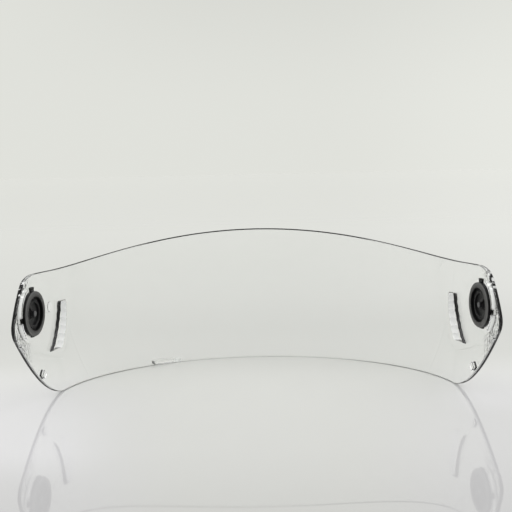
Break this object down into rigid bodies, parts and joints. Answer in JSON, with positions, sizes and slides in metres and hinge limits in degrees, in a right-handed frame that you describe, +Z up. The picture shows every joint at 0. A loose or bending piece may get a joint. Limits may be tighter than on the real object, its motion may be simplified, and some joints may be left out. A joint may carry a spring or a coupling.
{
  "type": "helmet visor",
  "caption": "Clear wraparound motorcycle helmet visor with a black pivot disc in each end plate, notched detent slots and a small lifting tab on its bottom edge.",
  "frame": {"origin": "on the table under the middle of the visor, which stands on its bottom edge", "axes": "+X to the rider's right across the two end plates, +Y forward to the visor's front, +Z up"},
  "size_m": [0.2582, 0.1542, 0.0903],
  "materials": {
    "clear_polycarbonate": "clear, polished, hard coated",
    "black_nylon": "moulded satin black",
    "core_nylon": "moulded satin black, a little darker",
    "slip_plastic": "smooth dark grey",
    "spring_steel": "rolled strip",
    "dark_pin_steel": "blackened, turned"
  },
  "bodies": {
    "shield": {"shield": "clear_polycarbonate"},
    "right_hub": {"right_hub_housing": "black_nylon", "right_wear_washer": "slip_plastic", "right_outer_retainer": "black_nylon"},
    "right_lock": {"right_lock_core": "core_nylon", "right_centre_pin": "dark_pin_steel", "right_retaining_clip": "spring_steel", "right_wave_spring": "spring_steel", "right_thrust_washer": "spring_steel"},
    "left_hub": {"left_hub_housing": "black_nylon", "left_wear_washer": "slip_plastic", "left_outer_retainer": "black_nylon"},
    "left_lock": {"left_lock_core": "core_nylon", "left_centre_pin": "dark_pin_steel", "left_retaining_clip": "spring_steel", "left_wave_spring": "spring_steel", "left_thrust_washer": "spring_steel"}
  },
  "joints": [
    {"name": "right_hub_turn", "type": "hinge", "parent": "shield", "child": "right_hub", "pos_m": [0.1226, -0.05825, 0.0515], "axis": [-0.9751, -0.2215, 0], "range_deg": [0, 42]},
    {"name": "right_lock_turn", "type": "hinge", "parent": "right_hub", "child": "right_lock", "pos_m": [0.1226, -0.05825, 0.0515], "axis": [-0.9751, -0.2215, 0], "range_deg": [0, 90]},
    {"name": "left_hub_turn", "type": "hinge", "parent": "shield", "child": "left_hub", "pos_m": [-0.1226, -0.05825, 0.0515], "axis": [-0.9751, 0.2215, 0], "range_deg": [0, 42]},
    {"name": "left_lock_turn", "type": "hinge", "parent": "left_hub", "child": "left_lock", "pos_m": [-0.1226, -0.05825, 0.0515], "axis": [-0.9751, 0.2215, 0], "range_deg": [0, 90]}
  ]
}
